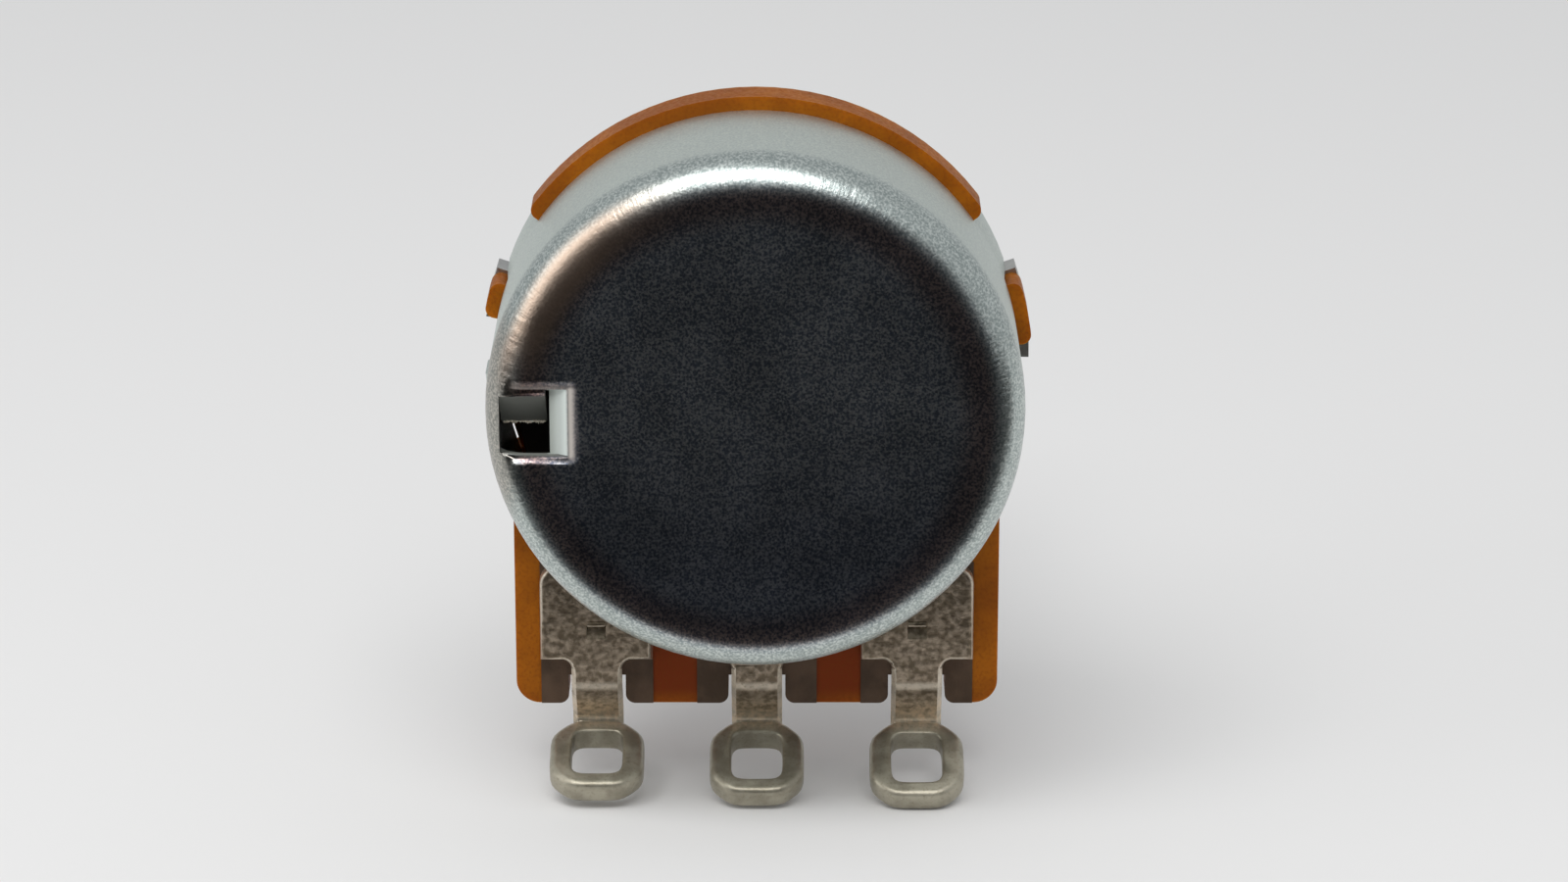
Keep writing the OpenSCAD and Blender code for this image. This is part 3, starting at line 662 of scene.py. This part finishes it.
def grown(name, tree, **values):
    """A plain mesh grown by a geometry-nodes tree, with its inputs given by name."""
    seed = new_object(name, bpy.data.meshes.new(name))
    modifier = seed.modifiers.new("grow", "NODES")
    modifier.node_group = tree
    for item in tree.interface.items_tree:
        if item.item_type == "SOCKET" and item.in_out == "INPUT" and item.name in values:
            modifier[item.identifier] = values[item.name]
    bpy.context.view_layer.update()
    depsgraph = bpy.context.evaluated_depsgraph_get()
    mesh = bpy.data.meshes.new_from_object(seed.evaluated_get(depsgraph))
    seed.modifiers.remove(modifier)
    empty = seed.data
    seed.data = mesh
    bpy.data.meshes.remove(empty)
    return seed


def thread_tree(material):
    """Geometry nodes that wind a screw thread round +Y.

    A grid is rolled up: its rows follow the helix, so crest and root are clean lines.
    The first and the last two rows lie inside the metal and close the shell.
    """
    tree, t, given = new_grower("screw_thread", [
        ("Crest radius", FLOAT, BUSHING_RADIUS * MM),
        ("Root radius", FLOAT, THREAD_ROOT * MM),
        ("Inner radius", FLOAT, (THREAD_ROOT - 0.15) * MM),
        ("Pitch", FLOAT, THREAD_PITCH * MM),
        ("Start", FLOAT, THREAD_FROM * MM),
        ("End", FLOAT, THREAD_TO * MM),
        ("Steps round", COUNT, 72),
        ("Rows per turn", COUNT, 8),
        ("Turns", COUNT, 10)])
    steps, per_turn = given["Steps round"], given["Rows per turn"]
    start, end, pitch = given["Start"], given["End"], given["Pitch"]
    rows = t.math("MULTIPLY", per_turn, given["Turns"])
    last = t.math("ADD", rows, 2.0)
    grid = t.add("GeometryNodeMeshGrid", {
        "Size X": steps, "Size Y": last,
        "Vertices X": t.math("ADD", steps, 1.0), "Vertices Y": t.math("ADD", last, 1.0)})
    spot = t.split(t.add("GeometryNodeInputPosition").outputs[0])
    column = t.math("ADD", spot[0], t.math("DIVIDE", steps, 2.0))
    row = t.math("ADD", spot[1], t.math("DIVIDE", last, 2.0))
    turn = t.math("DIVIDE", column, steps)

    # Height of the profile in 0..1, from the row's place within its turn.  The first
    # row of a turn is held just past its start, so that no rounding loses it.
    within = t.math("FRACT", t.math("DIVIDE", t.math("SUBTRACT", row, 0.999), per_turn))
    wave = t.math("SUBTRACT", 1.0, t.math("ABSOLUTE", t.math(
        "SUBTRACT", t.math("MULTIPLY", within, 2.0), 1.0)))
    profile = t.math("SUBTRACT", t.math("MULTIPLY", wave, FLANK_RISE), ROOT_FLAT, clamp=True)

    # Place along the axis, held between the two ends, where the thread runs out.
    wound = t.math("SUBTRACT", t.math("ADD", t.math(
        "DIVIDE", t.math("SUBTRACT", row, 1.0), per_turn), turn), 1.0)
    along = t.math("ADD", start, t.math("MULTIPLY", wound, pitch))
    from_start = t.math("SUBTRACT", along, start)
    to_end = t.math("SUBTRACT", end, along)
    run_out = t.math("DIVIDE", from_start, t.math("MULTIPLY", pitch, RUN_OUT), clamp=True)
    rise = t.product(t.math("SUBTRACT", given["Crest radius"], given["Root radius"]),
                     t.product(profile, run_out))
    rise = t.math("MINIMUM", rise, t.math("MAXIMUM", to_end, 0.0))
    outer = t.math("ADD", given["Root radius"], rise)
    along = t.math("MAXIMUM", start, t.math("MINIMUM", end, along))

    # The rows inside the metal; the first and the very last are the same circle.
    first = t.math("LESS_THAN", row, 0.5)
    after = t.math("GREATER_THAN", row, t.math("ADD", rows, 0.5))
    inner = t.math("MAXIMUM", first, after)
    closing = t.math("MAXIMUM", first, t.math("GREATER_THAN", row, t.math("ADD", rows, 1.5)))
    inner_along = t.math("ADD", end, t.math("MULTIPLY", closing, t.math(
        "SUBTRACT", start, end)))
    radius = t.math("ADD", outer, t.math("MULTIPLY", inner, t.math(
        "SUBTRACT", given["Inner radius"], outer)))
    along = t.math("ADD", along, t.math("MULTIPLY", inner, t.math(
        "SUBTRACT", inner_along, along)))

    angle = t.math("MULTIPLY", turn, math.tau)
    rolled = t.add("GeometryNodeSetPosition", {
        "Geometry": grid.outputs["Mesh"],
        "Position": t.joined(t.math("MULTIPLY", radius, t.math("COSINE", angle)), along,
                             t.math("MULTIPLY", radius, t.math("SINE", angle)))})
    merged = t.add("GeometryNodeMergeByDistance", {
        "Geometry": rolled.outputs[0], "Distance": 0.002 * MM})
    end_grower(t, merged.outputs[0], material)
    return tree


def make_thread():
    """The screw thread round the slimmed bushing."""
    thread = grown("bushing_thread", thread_tree(MATERIALS["die_cast_zinc"]))
    shape = bmesh.new()
    shape.from_mesh(thread.data)
    bmesh.ops.recalc_face_normals(shape, faces=shape.faces)
    shape.to_mesh(thread.data)
    shape.free()
    shade_smooth(thread.data, sharp=35)
    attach(thread, HOUSING)


def burr_tree(material):
    """Geometry nodes that lay a ragged bead of torn metal between two points."""
    tree, t, given = new_grower("sheared_burr", [
        ("Start", VECTOR, (0, 0, 0)),
        ("End", VECTOR, (MM, 0, 0)),
        ("Thickness", FLOAT, 0.075 * MM),
        ("Raggedness", FLOAT, 0.06 * MM),
        ("Seed", COUNT, 4)])
    line = t.add("GeometryNodeCurvePrimitiveLine", {
        "Start": given["Start"], "End": given["End"]})
    points = t.add("GeometryNodeResampleCurve", {"Curve": line.outputs[0], "Count": 40})
    shift = t.add("FunctionNodeRandomValue", data_type="FLOAT_VECTOR")
    t.fill(shift, {"Min": (0, -0.5, -0.5), "Max": (0, 0.5, 0.5), "Seed": given["Seed"]})
    ragged = t.add("GeometryNodeSetPosition", {
        "Geometry": points.outputs[0],
        "Offset": t.scaled(shift.outputs[0], given["Raggedness"])})
    # Sockets 2, 3 and output 1 are the least, the greatest and the drawn float.
    swell = t.add("FunctionNodeRandomValue", data_type="FLOAT")
    t.fill(swell, {2: 0.35, 3: 1.0, "Seed": given["Seed"]})
    sized = t.add("GeometryNodeSetCurveRadius", {
        "Curve": ragged.outputs[0],
        "Radius": t.product(swell.outputs[1], given["Thickness"])})
    ring = t.add("GeometryNodeCurvePrimitiveCircle", {"Resolution": 8, "Radius": 1.0})
    bead = t.add("GeometryNodeCurveToMesh", {
        "Curve": sized.outputs[0], "Profile Curve": ring.outputs[0], "Fill Caps": True})
    if "Scale" in bead.inputs:
        t.put(bead.inputs["Scale"], t.add("GeometryNodeInputRadius").outputs[0])
    end_grower(t, bead.outputs[0], material)
    return tree


def make_flap_burr():
    """Torn bead on the sheared lower edge of the stop flap.

    The flap is hinged along the top of its window and bent in, so its tip lies one
    window height away at the bend's angle.
    """
    tip_y = COVER_REAR + WINDOW_HEIGHT * math.sin(FLAP_BEND)
    tip_z = WINDOW_HEIGHT / 2 - WINDOW_HEIGHT * math.cos(FLAP_BEND)
    start, end = (Vector((x, tip_y, tip_z)) * MM for x in FLAP_SIDES)
    burr = grown("flap_burr", burr_tree(MATERIALS["sheared_edge"]), Start=start, End=end)
    shade_smooth(burr.data)
    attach(burr, HOUSING)


# ------------------------------------------------------------------ pieces

for side in ("left", "centre", "right"):
    name = "terminal_" + side
    stand_for(name, HOUSING, sheared_terminal(name), 0.16, sharp=28, weighed=True)
stand_for("rear_cover", HOUSING, merged_copy("rear_cover"), 0.04, flat_faced=True)
make_flap_burr()
stand_for("element_board", HOUSING, merged_copy("element_board"), 0.05)
stand_for("bushing_flange", HOUSING, slimmed_bushing(), 0.06, flat_faced=True)
make_thread()
for name, edge_width in (("shaft", 0.03), ("retaining_clip", 0.03), ("rotor", 0.05),
                         ("wiper_spring", 0.0)):
    stand_for(name, SPINDLE, merged_copy(name), edge_width)


# ------------------------------------------------------------------- stage

FLOOR_HEIGHT = -13.86   # just under the lowest lug


def matt_finish(name, colour, roughness, specular):
    """A plain dull surface of the stage."""
    t, shader = new_material(name)
    t.fill(shader, {
        "Base Color": colour, "Roughness": roughness, "Specular IOR Level": specular})


def flat_sheet(name, corners, finish):
    """One flat four-cornered sheet of the stage."""
    mesh = bpy.data.meshes.new(name)
    mesh.from_pydata([Vector(corner) * MM for corner in corners], [], [(0, 1, 2, 3)])
    mesh.materials.append(MATERIALS[finish])
    sheet = new_object(name, mesh)
    return sheet


def make_stage():
    """A pale matt floor, and two dark screens that only the metal mirrors."""
    matt_finish("floor", srgb(232, 231, 230), 0.9, 0.1)
    matt_finish("screen", (0.01, 0.01, 0.01, 1), 1.0, 0.0)
    floor = FLOOR_HEIGHT
    low = floor + 0.3
    flat_sheet("floor", [(-900, -900, floor), (900, -900, floor),
                         (900, 900, floor), (-900, 900, floor)], "floor")
    for screen in (
            flat_sheet("screen_low", [(-260, -420, low), (260, -420, low),
                                      (150, -14.5, low), (-150, -14.5, low)], "screen"),
            flat_sheet("screen_tall", [(-420, -420, floor), (420, -420, floor),
                                       (420, -420, 250), (-420, -420, 250)], "screen")):
        screen.visible_camera = False
        screen.visible_diffuse = False
        screen.visible_shadow = False


def make_world():
    """An even pale sky."""
    world = bpy.data.worlds.new("studio")
    bpy.context.scene.world = world
    world.use_nodes = True
    background = world.node_tree.nodes["Background"]
    background.inputs["Color"].default_value = srgb(222, 224, 226)
    background.inputs["Strength"].default_value = 0.74


def soft_light(name, place, size, power):
    """A rectangular soft lamp, in watts, aimed at the origin."""
    data = bpy.data.lights.new(name, "AREA")
    data.shape = "RECTANGLE"
    data.size = size[0] * MM
    data.size_y = size[1] * MM
    data.energy = power
    aim(new_object(name, data), place, (0, 0, 0))


make_stage()
make_world()
soft_light("key", (-40, -165, 265), (300, 160), 0.62)
soft_light("fill", (-330, -120, 140), (200, 200), 0.16)
